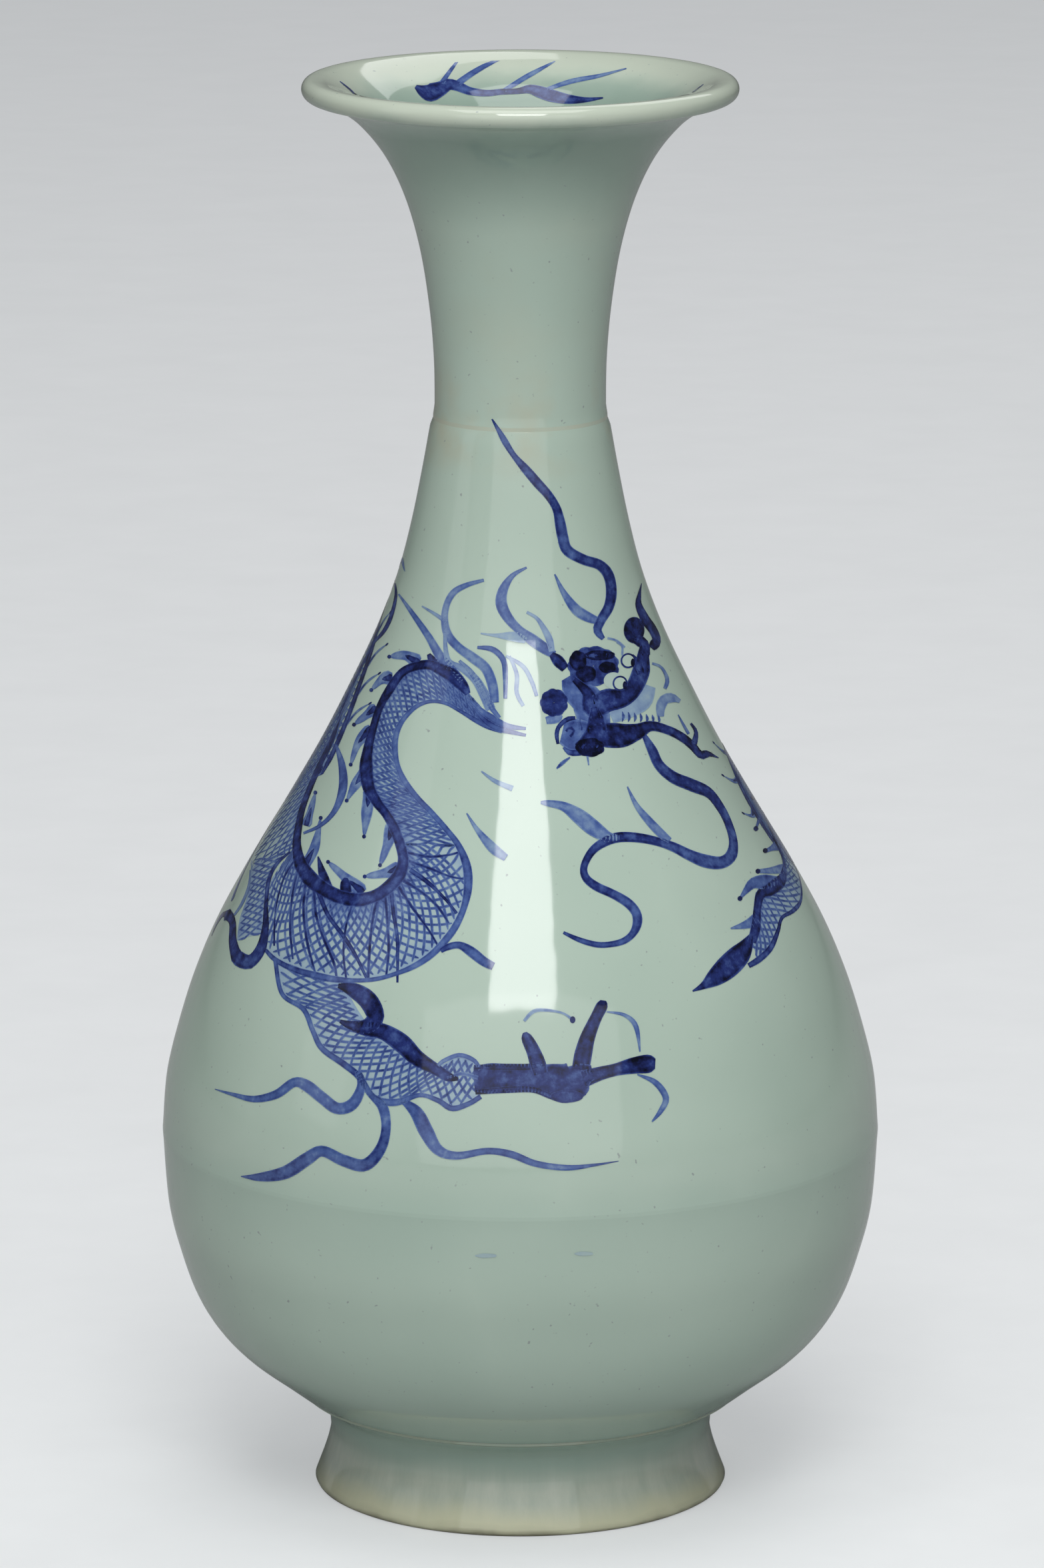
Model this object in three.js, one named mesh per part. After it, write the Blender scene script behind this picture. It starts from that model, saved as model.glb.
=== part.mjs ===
// Pear-shaped porcelain vase (bottle with a trumpet mouth), thrown in sections and luted with slip.
// Millimetres, +Z up, origin at the centre of the foot ring's underside.
import * as THREE from 'three';

// Whole vase
const HEIGHT = 290;
const SEGMENTS = 64;

// Heights of the three luted joints
const FOOT_JOINT_Z = 20;
const BELLY_JOINT_Z = 75;
const NECK_JOINT_Z = 222;

// Slip left between two sections
const SLIP_THICKNESS = 0.8;
const SLIP_BEAD = 1.2;

// Outer radii that shape the silhouette
const FOOT_RADIUS = 42.2;
const FOOT_WAIST_RADIUS = 39;
const FOOT_WAIST_Z = 12.5;
const FOOT_TOP_RADIUS = 44.8;
const BELLY_RADIUS = 73;
const NECK_LOWER_RADIUS = 17.8;
const NECK_UPPER_RADIUS = 17.2;
const MOUTH_RADIUS = 43.6;

// Wall thicknesses
const BODY_WALL = 4.2;
const NECK_WALL = 3.6;
const LIP_RADIUS = 2.1;

// Foot ring and floor
const FOOT_INNER_RADIUS = 34.5;
const FOOT_TAPER = 1.4;
const FOOT_EDGE = 0.9;
const FLOOR_THICKNESS = 5;
const BASE_SAG = 1.5;

// Outlines between two named radii, as [share of the radius change, share of the height]
const LOWER_BODY = [
  [0, 0],
  [0.213, 0.084],
  [0.468, 0.185],
  [0.645, 0.284],
  [0.777, 0.4],
  [0.876, 0.545],
  [0.961, 0.727],
  [1, 1],
];

const UPPER_BODY = [
  [0, 0],
  [0.016, 0.075],
  [0.059, 0.143],
  [0.122, 0.218],
  [0.207, 0.293],
  [0.324, 0.374],
  [0.455, 0.456],
  [0.59, 0.544],
  [0.701, 0.626],
  [0.802, 0.707],
  [0.876, 0.782],
  [0.926, 0.854],
  [0.968, 0.932],
  [1, 1],
];

const TRUMPET = [
  [0, 0],
  [0.004, 0.162],
  [0.038, 0.324],
  [0.11, 0.5],
  [0.223, 0.654],
  [0.379, 0.779],
  [0.583, 0.875],
  [0.773, 0.926],
];

// Outline helpers
const v2 = (r, z) => new THREE.Vector2(r, z);

function spline(rows, count) {
  const curve = new THREE.SplineCurve(rows.map(([r, z]) => v2(r, z)));
  return curve.getSpacedPoints(count);
}

// Outline drawn from a start to an end, each a [radius, height]
function between(shares, start, end, count) {
  const rows = shares.map(([k, h]) => [
    start[0] + k * (end[0] - start[0]),
    start[1] + h * (end[1] - start[1]),
  ]);
  return spline(rows, count);
}

function cutAbove(points, z) {
  return points.filter((p) => p.y > z + 0.6);
}

function cutBelow(points, z) {
  return points.filter((p) => p.y < z - 0.6);
}

// Inner outline, one wall inside the outer one, measured square to it
function inset(points, wall) {
  return points.map((p, i) => {
    const a = points[Math.max(i - 1, 0)];
    const b = points[Math.min(i + 1, points.length - 1)];
    const t = v2(b.x - a.x, b.y - a.y).normalize();
    const w = typeof wall === 'function' ? wall(i / (points.length - 1)) : wall;
    return v2(p.x - t.y * w, p.y + t.x * w);
  });
}

// Turned body from a closed outline
function turned(name, outline, colour, roughness) {
  const loop = outline.concat([outline[0].clone()]);
  const geometry = new THREE.LatheGeometry(loop, SEGMENTS);
  geometry.rotateX(Math.PI / 2);
  const material = new THREE.MeshStandardMaterial({ color: colour, roughness });
  const mesh = new THREE.Mesh(geometry, material);
  mesh.name = name;
  mesh.material.name = name;
  return mesh;
}

// Outer and inner outlines of the three walls
const HALF_SLIP = SLIP_THICKNESS / 2;
const footTop = [FOOT_TOP_RADIUS, FOOT_JOINT_Z];
const belly = [BELLY_RADIUS, BELLY_JOINT_Z];
const shoulderTop = [NECK_LOWER_RADIUS, NECK_JOINT_Z];
const neckFoot = [NECK_UPPER_RADIUS, NECK_JOINT_Z];
const lowerOuter = between(LOWER_BODY, footTop, belly, 8);
const upperOuter = between(UPPER_BODY, belly, shoulderTop, 14);
const neckOuter = between(TRUMPET, neckFoot, [MOUTH_RADIUS, HEIGHT], 11);
const lowerInner = inset(lowerOuter, BODY_WALL);
const upperInner = inset(upperOuter, (k) => BODY_WALL + (NECK_WALL - BODY_WALL) * k);
const neckInner = inset(neckOuter, NECK_WALL);

// Radii on both sides of each joint, shared by the sections and the slip between them
const FLOOR_Z = FOOT_JOINT_Z + HALF_SLIP + FLOOR_THICKNESS;
const BELLY_INNER = BELLY_RADIUS - BODY_WALL;
const NECK_INNER = NECK_UPPER_RADIUS - NECK_WALL;
const footFaceZ = FOOT_JOINT_Z - HALF_SLIP;
const bodyFaceZ = FOOT_JOINT_Z + HALF_SLIP;
const footSlipRadius = FOOT_TOP_RADIUS - 0.6;
const footHollowRadius = FOOT_INNER_RADIUS - FOOT_TAPER;

// Foot ring: flared skirt, bevelled standing edge, waist and wide top for the joint
function footRing() {
  const flare = FOOT_RADIUS - FOOT_WAIST_RADIUS;
  const skirt = spline([
    [FOOT_RADIUS, FOOT_EDGE],
    [FOOT_WAIST_RADIUS + flare * 0.38, FOOT_WAIST_Z * 0.5],
    [FOOT_WAIST_RADIUS + flare * 0.06, FOOT_WAIST_Z * 0.8],
    [FOOT_WAIST_RADIUS, FOOT_WAIST_Z],
    [FOOT_WAIST_RADIUS + 1, footFaceZ - 2.8],
    [footSlipRadius, footFaceZ],
  ], 7);
  const outline = [
    v2(FOOT_INNER_RADIUS + FOOT_EDGE, 0),
    v2(FOOT_RADIUS - FOOT_EDGE, 0),
    ...skirt,
    v2(footHollowRadius, footFaceZ),
    v2(FOOT_INNER_RADIUS - FOOT_TAPER * 0.4, FOOT_WAIST_Z * 0.6),
    v2(FOOT_INNER_RADIUS, FOOT_EDGE),
  ];
  return turned('foot_ring', outline, 0x8f9b8f, 0.4);
}

// Slip under the body: a thin washer with a bead pressed out inside the foot
function footSlip() {
  const inner = footHollowRadius;
  const outline = [
    v2(inner - SLIP_BEAD, footFaceZ - 0.4),
    v2(inner, footFaceZ - SLIP_BEAD),
    v2(inner, footFaceZ),
    v2(footSlipRadius, footFaceZ),
    v2(FOOT_TOP_RADIUS + 0.2, FOOT_JOINT_Z),
    v2(FOOT_TOP_RADIUS, bodyFaceZ),
    v2(inner - SLIP_BEAD - 0.6, bodyFaceZ),
  ];
  return turned('foot_slip_joint', outline, 0xa9ab9c, 0.7);
}

// Lower body: deep bowl with its floor, slightly sagging underside inside the foot
function lowerBody() {
  const top = BELLY_JOINT_Z - HALF_SLIP;
  const inner = footHollowRadius;
  const outer = cutBelow(cutAbove(lowerOuter, bodyFaceZ), top);
  const wall = cutAbove(cutBelow(lowerInner, top), FLOOR_Z).filter((p) => p.y > FLOOR_Z + 2);
  const floorEdge = wall[0].x - 6;
  const outline = [
    v2(0, bodyFaceZ - BASE_SAG),
    v2(inner * 0.5, bodyFaceZ - BASE_SAG * 0.75),
    v2(inner - SLIP_BEAD - 3, bodyFaceZ),
    v2(FOOT_TOP_RADIUS, bodyFaceZ),
    ...outer,
    v2(BELLY_RADIUS, top),
    v2(BELLY_INNER, top),
    ...wall.reverse(),
    v2(floorEdge + 2, FLOOR_Z + 0.8),
    v2(floorEdge - 3, FLOOR_Z),
    v2(0, FLOOR_Z),
  ];
  const mesh = turned('lower_body', outline, 0xaab8aa, 0.2);
  return mesh;
}

// Slip at the widest line of the belly, pressed out in a bead inside the hollow
function bellySlip() {
  const low = BELLY_JOINT_Z - HALF_SLIP;
  const high = BELLY_JOINT_Z + HALF_SLIP;
  const outline = [
    v2(BELLY_INNER, low),
    v2(BELLY_RADIUS, low),
    v2(BELLY_RADIUS, high),
    v2(BELLY_INNER, high),
    v2(BELLY_INNER - SLIP_BEAD * 0.6, high + 0.2),
    v2(BELLY_INNER - SLIP_BEAD, BELLY_JOINT_Z),
    v2(BELLY_INNER - SLIP_BEAD * 0.6, low - 0.2),
  ];
  return turned('belly_slip_joint', outline, 0xa9b3a4, 0.4);
}

// Upper body: shoulder drawn in to the foot of the neck
function upperBody() {
  const low = BELLY_JOINT_Z + HALF_SLIP;
  const high = NECK_JOINT_Z - HALF_SLIP;
  const outer = cutBelow(cutAbove(upperOuter, low), high);
  const wall = cutBelow(cutAbove(upperInner, low), high);
  const outline = [
    v2(BELLY_INNER, low),
    v2(BELLY_RADIUS, low),
    ...outer,
    v2(NECK_LOWER_RADIUS, high),
    v2(NECK_INNER, high),
    ...wall.reverse(),
  ];
  return turned('upper_body', outline, 0xb4c2b4, 0.2);
}

// Slip under the neck, stepped outside because the shoulder is a little wider than the neck
function neckSlip() {
  const low = NECK_JOINT_Z - HALF_SLIP;
  const high = NECK_JOINT_Z + HALF_SLIP;
  const outline = [
    v2(NECK_INNER, low),
    v2(NECK_LOWER_RADIUS, low),
    v2(NECK_LOWER_RADIUS, NECK_JOINT_Z),
    v2(NECK_UPPER_RADIUS, high),
    v2(NECK_INNER, high),
    v2(NECK_INNER - SLIP_BEAD * 0.6, high + 0.2),
    v2(NECK_INNER - SLIP_BEAD, NECK_JOINT_Z),
    v2(NECK_INNER - SLIP_BEAD * 0.6, low - 0.2),
  ];
  return turned('neck_slip_joint', outline, 0xa39c86, 0.5);
}

// Mouth and neck: straight neck opening into a trumpet with a rolled lip
function mouthAndNeck() {
  const low = NECK_JOINT_Z + HALF_SLIP;
  const lipZ = HEIGHT - LIP_RADIUS;
  const lipR = MOUTH_RADIUS - LIP_RADIUS;
  const outer = cutAbove(neckOuter, low);
  const wall = cutAbove(neckInner, low).filter((p) => p.x < lipR - 4 && p.y < lipZ + 1.2);
  const lip = [-75, -35, 0, 35, 65, 90].map((deg) => {
    const a = THREE.MathUtils.degToRad(deg);
    return v2(lipR + LIP_RADIUS * Math.cos(a), lipZ + LIP_RADIUS * Math.sin(a));
  });
  lip.push(v2(lipR - 2.6, HEIGHT - 0.35));
  const outline = [
    v2(NECK_INNER, low),
    v2(NECK_UPPER_RADIUS, low),
    ...outer,
    ...lip,
    ...wall.reverse(),
  ];
  return turned('mouth_and_neck', outline, 0xb4c2b4, 0.2);
}

const vase = new THREE.Group();
vase.name = 'vase';
vase.add(footRing(), footSlip(), lowerBody(), bellySlip(), upperBody(), neckSlip(), mouthAndNeck());

export default vase;
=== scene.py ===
"""Blue and white porcelain vase: thrown sections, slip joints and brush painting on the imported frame."""

import math

import bpy
import numpy as np
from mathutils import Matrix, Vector


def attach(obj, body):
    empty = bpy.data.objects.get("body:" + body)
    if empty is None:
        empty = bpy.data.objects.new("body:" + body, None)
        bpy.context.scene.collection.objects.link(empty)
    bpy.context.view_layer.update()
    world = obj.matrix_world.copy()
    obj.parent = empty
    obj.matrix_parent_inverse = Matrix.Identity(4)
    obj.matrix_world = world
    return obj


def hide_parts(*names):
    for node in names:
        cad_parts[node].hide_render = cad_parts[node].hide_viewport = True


bl_info = {
    "name": "Porcelain Vase Builder",
    "version": (1, 0, 0),
    "blender": (4, 5, 0),
    "location": "View3D > Sidebar > Vase",
    "description": "Builds a pear-shaped porcelain vase with its painted decoration",
    "category": "Add Mesh",
}

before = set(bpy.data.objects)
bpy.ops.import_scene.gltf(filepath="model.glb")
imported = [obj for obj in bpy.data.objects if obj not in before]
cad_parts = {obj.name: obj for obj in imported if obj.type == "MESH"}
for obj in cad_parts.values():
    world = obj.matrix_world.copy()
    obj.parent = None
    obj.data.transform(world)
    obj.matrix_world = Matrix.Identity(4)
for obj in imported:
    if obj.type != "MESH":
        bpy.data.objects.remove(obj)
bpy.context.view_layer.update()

MM = 0.001
VIEW_W = 1568
VIEW_H = 2354
SENSOR = 36
PIXELS_PER_METRE = 7600  # places of the view to a metre at the vase

# The flat drawing of the back: a place's height on the vase, and metres to a place
DRAWING_MIDDLE = 1000
DRAWING_MIDDLE_Z = 0.177
DRAWING_STEP = 0.00012

# Joints and edges
CLEAR = 0.0003  # outline points nearer than this to a joint are left out
HAIR = 0.00002  # keeps the neck slip's edge off its neighbours
NECK_STEP = 0.0024  # reach of the soft step over and under the neck joint
BEAD = 0.0012  # slip pressed out inside the wall
BEAD_SIDE = 0.0007
FOOT_BEVEL = 0.0009
FOOT_LEAN = 0.0014  # the foot's inside narrows by this towards the top
FOOT_STEP = 0.0006  # the foot's top is this much narrower than the body
FOOT_WAIST = [(0.04022, 0.00625), (0.03919, 0.01), (0.039, 0.0125)]
MERGE = 1e-6

# Brush
FINE_WIDTH = 6  # narrower strokes have no pooled edges
FINE_STROKE = ([-1.1, 0, 1.1], [0.7, 1, 0.7])
BROAD_STROKE = ([-1.04, -0.8, -0.3, 0.3, 0.8, 1.04], [0.68, 1, 0.84, 0.84, 1, 0.68])
HALF_WIDTH = 0.53
MOST_STRETCH = 1.5  # of a ribbon's half width where the wall turns away

# Shares of radius change and of height change along each section, as in the solids
LOWER_SHARES = [
    (0, 0), (0.213, 0.084), (0.468, 0.185), (0.645, 0.284),
    (0.777, 0.4), (0.876, 0.545), (0.961, 0.727), (1, 1),
]
UPPER_SHARES = [
    (0, 0), (0.016, 0.075), (0.059, 0.143), (0.122, 0.218), (0.207, 0.293),
    (0.324, 0.374), (0.455, 0.456), (0.59, 0.544), (0.701, 0.626), (0.802, 0.707),
    (0.876, 0.782), (0.926, 0.854), (0.968, 0.932), (1, 1),
]
TRUMPET_SHARES = [
    (0, 0), (0.004, 0.162), (0.038, 0.324), (0.11, 0.5),
    (0.223, 0.654), (0.379, 0.779), (0.583, 0.875), (0.773, 0.926),
]


class VaseProps(bpy.types.PropertyGroup):
    """Sizes of the vase and of its view."""

    height: bpy.props.FloatProperty(
        name="Height", description="Foot to lip", default=0.290, unit="LENGTH"
    )
    foot_joint: bpy.props.FloatProperty(
        name="Foot joint", description="Height of the joint over the foot", default=0.020, unit="LENGTH"
    )
    belly_joint: bpy.props.FloatProperty(
        name="Belly joint", description="Height of the joint at the belly", default=0.075, unit="LENGTH"
    )
    neck_joint: bpy.props.FloatProperty(
        name="Neck joint", description="Height of the joint under the neck", default=0.222, unit="LENGTH"
    )
    foot_radius: bpy.props.FloatProperty(
        name="Foot radius", description="Standing edge of the foot", default=0.0422, unit="LENGTH"
    )
    foot_top_radius: bpy.props.FloatProperty(
        name="Foot top radius", description="Body at the foot joint", default=0.0448, unit="LENGTH"
    )
    belly_radius: bpy.props.FloatProperty(
        name="Belly radius", description="Widest radius", default=0.073, unit="LENGTH"
    )
    shoulder_radius: bpy.props.FloatProperty(
        name="Shoulder top radius", description="Under the neck joint", default=0.0178, unit="LENGTH"
    )
    neck_radius: bpy.props.FloatProperty(
        name="Neck radius", description="Over the neck joint", default=0.0172, unit="LENGTH"
    )
    mouth_radius: bpy.props.FloatProperty(
        name="Mouth radius", description="Outside of the lip", default=0.0436, unit="LENGTH"
    )
    lip_radius: bpy.props.FloatProperty(
        name="Lip radius", description="Half the lip's thickness", default=0.0021, unit="LENGTH"
    )
    wall: bpy.props.FloatProperty(
        name="Wall", description="Body wall", default=0.0042, unit="LENGTH"
    )
    neck_wall: bpy.props.FloatProperty(
        name="Neck wall", description="Neck wall", default=0.0036, unit="LENGTH"
    )
    slip: bpy.props.FloatProperty(
        name="Slip", description="Thickness of the slip joints", default=0.0008, unit="LENGTH"
    )
    foot_inner: bpy.props.FloatProperty(
        name="Foot inside", description="Inner radius of the foot", default=0.0345, unit="LENGTH"
    )
    floor: bpy.props.FloatProperty(
        name="Floor", description="Thickness of the floor", default=0.005, unit="LENGTH"
    )
    steps: bpy.props.IntProperty(
        name="Steps", description="Steps round each turned piece", default=160, min=24, max=256
    )
    camera_side: bpy.props.FloatProperty(
        name="Camera offset", description="To the right of the vase", default=0.00034, unit="LENGTH"
    )
    camera_distance: bpy.props.FloatProperty(
        name="Camera distance", description="In front of the vase", default=1.685, unit="LENGTH"
    )
    camera_height: bpy.props.FloatProperty(
        name="Camera height", description="Above the floor", default=0.5246, unit="LENGTH"
    )
    camera_pitch: bpy.props.FloatProperty(
        name="Camera pitch", description="Looking down", default=math.radians(12.66), subtype="ANGLE"
    )
    lens: bpy.props.FloatProperty(
        name="Lens", description="Focal length on a 36 mm long side", default=195.84
    )


def props():
    return bpy.context.scene.vase_props


# Outlines

def spline(points, count):
    """Catmull-Rom curve through the points, as count + 1 points an equal length apart."""
    p = np.array(points, float)
    p = np.vstack([p[0], p, p[-1]])
    t = np.linspace(0, 1, 24, endpoint=False)[:, None]
    out = []
    for a, b, c, d in zip(p[:-3], p[1:-2], p[2:-1], p[3:]):
        out.append(
            0.5 * (2 * b + (c - a) * t + (2 * a - 5 * b + 4 * c - d) * t**2
                   + (3 * b - a - 3 * c + d) * t**3)
        )
    out = np.vstack(out + [p[-1:]])
    s = np.concatenate([[0], np.cumsum(np.linalg.norm(np.diff(out, axis=0), axis=1))])
    at = np.linspace(0, s[-1], count + 1)
    return np.column_stack([np.interp(at, s, out[:, k]) for k in range(out.shape[1])])


def between(shares, start, end, count):
    rows = [(start[0] + k * (end[0] - start[0]), start[1] + h * (end[1] - start[1]))
            for k, h in shares]
    return spline(rows, count)


def inset(points, start_wall, end_wall):
    """Points one wall inside the outline, square to it."""
    t = np.gradient(points, axis=0)
    t /= np.linalg.norm(t, axis=1)[:, None]
    w = np.linspace(start_wall, end_wall, len(points))
    return np.column_stack([points[:, 0] - t[:, 1] * w, points[:, 1] + t[:, 0] * w])


def outlines():
    """Outer outlines of the three walls, in metres."""
    p = props()
    lower = between(
        LOWER_SHARES, (p.foot_top_radius, p.foot_joint), (p.belly_radius, p.belly_joint), 40
    )
    upper = between(
        UPPER_SHARES, (p.belly_radius, p.belly_joint), (p.shoulder_radius, p.neck_joint), 80
    )
    neck = between(
        TRUMPET_SHARES, (p.neck_radius, p.neck_joint), (p.mouth_radius, p.height), 60
    )
    middle = (p.shoulder_radius + p.neck_radius) / 2
    for line, end in ((upper, p.shoulder_radius), (neck, p.neck_radius)):
        near = np.clip(1 - np.abs(line[:, 1] - p.neck_joint) / NECK_STEP, 0, 1)
        line[:, 0] += (middle - end) * near * near * (3 - 2 * near)
    return lower, upper, neck


def lip_arc(first, last, count):
    p = props()
    a = np.radians(np.linspace(first, last, count))
    r = p.mouth_radius - p.lip_radius + p.lip_radius * np.cos(a)
    z = p.height - p.lip_radius + p.lip_radius * np.sin(a)
    return np.column_stack([r, z])


def part_of(line, low, high):
    """Points of a line between two heights."""
    return [tuple(q) for q in line if low < q[1] < high]


def slip_ring(inner, joint, outer_low, outer_high):
    """Section of a slip joint in the wall, with the bead that is pressed out inside."""
    half = props().slip / 2
    low, high = joint - half, joint + half
    return [
        (inner, low), (outer_low, low), (outer_high, high), (inner, high),
        (inner - BEAD_SIDE, high + half / 2), (inner - BEAD, joint),
        (inner - BEAD_SIDE, low - half / 2),
    ]


# Turned pieces

def deselect():
    bpy.ops.object.select_all(action="DESELECT")


def turned(name, outline):
    """A closed outline as an edge loop, turned about Z by a Screw modifier that is then applied."""
    pts = [tuple(q) for q in outline]
    deselect()
    bpy.ops.mesh.primitive_circle_add(vertices=len(pts), radius=1)
    obj = bpy.context.object
    obj.name = name
    obj.data.name = name
    for vert, (r, z) in zip(obj.data.vertices, pts):
        vert.co = (r, 0, z)
    on_axis = [i for i, q in enumerate(pts) if q[0] < 1e-7]
    bpy.ops.object.modifier_add(type="SCREW")
    mod = obj.modifiers[-1]
    mod.axis = "Z"
    mod.steps = props().steps
    mod.render_steps = props().steps
    mod.use_merge_vertices = True
    mod.merge_threshold = MERGE
    bpy.ops.object.modifier_apply(modifier=mod.name)
    bpy.ops.object.mode_set(mode="EDIT")
    bpy.ops.mesh.select_all(action="SELECT")
    bpy.ops.mesh.remove_doubles(threshold=MERGE)
    if len(on_axis) > 1:
        bpy.ops.mesh.dissolve_degenerate(threshold=1e-7)
    bpy.ops.mesh.select_all(action="SELECT")
    bpy.ops.mesh.normals_make_consistent(inside=False)
    bpy.ops.object.mode_set(mode="OBJECT")
    bpy.ops.object.shade_smooth_by_angle(angle=math.radians(50))
    return obj


def finish_piece(obj, slot_name, material, *nodes):
    obj.data.materials.clear()
    obj.data.materials.append(material)
    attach(obj, "root")
    if nodes:
        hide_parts(*nodes)
    return obj


# Materials

def new_material(name):
    mat = bpy.data.materials.new(name)
    mat.use_nodes = True
    tree = mat.node_tree
    bsdf = tree.nodes["Principled BSDF"]
    return mat, tree, bsdf


def noise(tree, scale, detail=3.0, rough=0.55, vector=None):
    node = tree.nodes.new("ShaderNodeTexNoise")
    node.inputs["Scale"].default_value = scale
    node.inputs["Detail"].default_value = detail
    node.inputs["Roughness"].default_value = rough
    if vector is None:
        coords = tree.nodes.new("ShaderNodeTexCoord")
        vector = coords.outputs["Object"]
    tree.links.new(vector, node.inputs["Vector"])
    return node


def ramp(tree, value, stops):
    node = tree.nodes.new("ShaderNodeValToRGB")
    tree.links.new(value, node.inputs["Fac"])
    elements = node.color_ramp.elements
    elements[0].position = stops[0][0]
    elements[0].color = (*stops[0][1], 1)
    elements[1].position = stops[-1][0]
    elements[1].color = (*stops[-1][1], 1)
    for place, colour in stops[1:-1]:
        element = elements.new(place)
        element.color = (*colour, 1)
    return node


def mix(tree, kind, factor, first, second):
    node = tree.nodes.new("ShaderNodeMix")
    node.data_type = "RGBA"
    node.blend_type = kind
    for key, value in ((0, factor), (6, first), (7, second)):
        if isinstance(value, bpy.types.NodeSocket):
            tree.links.new(value, node.inputs[key])
        elif isinstance(value, (int, float)):
            node.inputs[key].default_value = value
        else:
            node.inputs[key].default_value = (*value, 1)
    return node.outputs[2]


GLAZE_LIGHT = (0.47, 0.585, 0.50)
GLAZE_MID = (0.42, 0.535, 0.455)
# Darker green of pooled glaze near the foot, also used as painted shade across the belly joint
GLAZE_POOLED_AND_SHADE = (0.33, 0.45, 0.385)


def height_of(tree):
    """Height above the table, pushed up and down a little by noise so that no edge is straight."""
    coords = tree.nodes.new("ShaderNodeTexCoord")
    split = tree.nodes.new("ShaderNodeSeparateXYZ")
    tree.links.new(coords.outputs["Object"], split.inputs["Vector"])
    wobble = noise(tree, 60, 3.0)
    shift = tree.nodes.new("ShaderNodeMath")
    shift.operation = "MULTIPLY_ADD"
    tree.links.new(wobble.outputs["Fac"], shift.inputs[0])
    shift.inputs[1].default_value = 0.005
    tree.links.new(split.outputs["Z"], shift.inputs[2])
    return shift.outputs["Value"]


def band_mask(tree, height, stops, strength):
    """Grey value along the height: stops are (metres, value), scaled by strength."""
    grey = ramp(tree, stretch(tree, height, 0.0025, 0.2925), [(z / 0.29, (v, v, v)) for z, v in stops])
    out = tree.nodes.new("ShaderNodeMath")
    out.operation = "MULTIPLY"
    tree.links.new(grey.outputs["Color"], out.inputs[0])
    out.inputs[1].default_value = strength
    return out.outputs["Value"]


def stretch(tree, value, low, high):
    node = tree.nodes.new("ShaderNodeMapRange")
    tree.links.new(value, node.inputs["Value"])
    node.inputs["From Min"].default_value = low
    node.inputs["From Max"].default_value = high
    return node.outputs["Result"]


def glaze_colour(tree):
    """Grey-green glaze with slow shifts of colour, darker pooled glaze near the foot, painted shade across
    the belly joint, painted shade and pooled glaze under the lip, warm stains at the neck joint, and a few
    specks.
    """
    slow = noise(tree, 14, 2.0)
    colour = ramp(tree, slow.outputs["Fac"],
                  [(0.3, GLAZE_MID), (0.5, GLAZE_LIGHT), (0.75, GLAZE_MID)]).outputs["Color"]
    height = height_of(tree)
    pooled = band_mask(tree, height, [(0.0, 0), (0.014, 1), (0.022, 0.9), (0.034, 0.25), (0.06, 0)], 0.8)
    colour = mix(tree, "MIX", pooled, colour, GLAZE_POOLED_AND_SHADE)
    # Painted shade: a soft darker band across the belly joint, where the wall turns from facing up to facing
    # down
    painted_shade_at_belly = band_mask(tree, height, [(0.058, 0), (0.068, 0.6), (0.0755, 1), (0.081, 0), (0.3, 0)], 0.32)
    colour = mix(tree, "MIX", painted_shade_at_belly, colour, GLAZE_POOLED_AND_SHADE)
    patch = noise(tree, 45, 4.0)
    warm = ramp(tree, patch.outputs["Fac"], [(0.42, (0, 0, 0)), (0.7, (1, 1, 1))])
    at_neck = band_mask(
        tree, height, [(0.212, 0), (0.2195, 1), (0.2245, 0.8), (0.235, 0.2), (0.262, 0.1), (0.27, 0)], 0.9
    )
    both = tree.nodes.new("ShaderNodeMath")
    both.operation = "MULTIPLY"
    tree.links.new(warm.outputs["Color"], both.inputs[0])
    tree.links.new(at_neck, both.inputs[1])
    colour = mix(tree, "MIX", both.outputs["Value"], colour, (0.50, 0.45, 0.31))
    # Painted shade under the overhang of the lip, partly darker pooled glaze as well
    shade_and_pooled_glaze_under_lip = band_mask(
        tree, height,
        [(0.0, 0), (0.262, 0), (0.274, 0.7), (0.281, 1), (0.285, 0.6), (0.287, 0), (0.29, 0)], 0.75
    )
    colour = mix(tree, "MIX", shade_and_pooled_glaze_under_lip, colour, (0.22, 0.31, 0.26))
    at_lip = band_mask(tree, height, [(0.0, 0), (0.284, 0), (0.288, 1), (0.29, 1)], 0.45)
    colour = mix(tree, "MIX", at_lip, colour, (0.66, 0.66, 0.54))
    fine = noise(tree, 900, 1.0)
    specks = ramp(tree, fine.outputs["Fac"], [(0.0, (0, 0, 0)), (0.74, (0, 0, 0)), (0.8, (1, 1, 1))])
    return mix(tree, "MIX", specks.outputs["Color"], colour, (0.32, 0.37, 0.35))


def glaze_gloss(tree, bsdf):
    """Wet-looking surface with the slight waves of a hand-poured glaze."""
    bsdf.inputs["Roughness"].default_value = 0.07
    bsdf.inputs["IOR"].default_value = 1.5
    wave = noise(tree, 55, 2.0)
    bump = tree.nodes.new("ShaderNodeBump")
    bump.inputs["Strength"].default_value = 0.25
    bump.inputs["Distance"].default_value = 0.0006
    tree.links.new(wave.outputs["Fac"], bump.inputs["Height"])
    tree.links.new(bump.outputs["Normal"], bsdf.inputs["Normal"])


def glaze_material():
    mat, tree, bsdf = new_material("glaze")
    tree.links.new(glaze_colour(tree), bsdf.inputs["Base Color"])
    glaze_gloss(tree, bsdf)
    return mat


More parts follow.
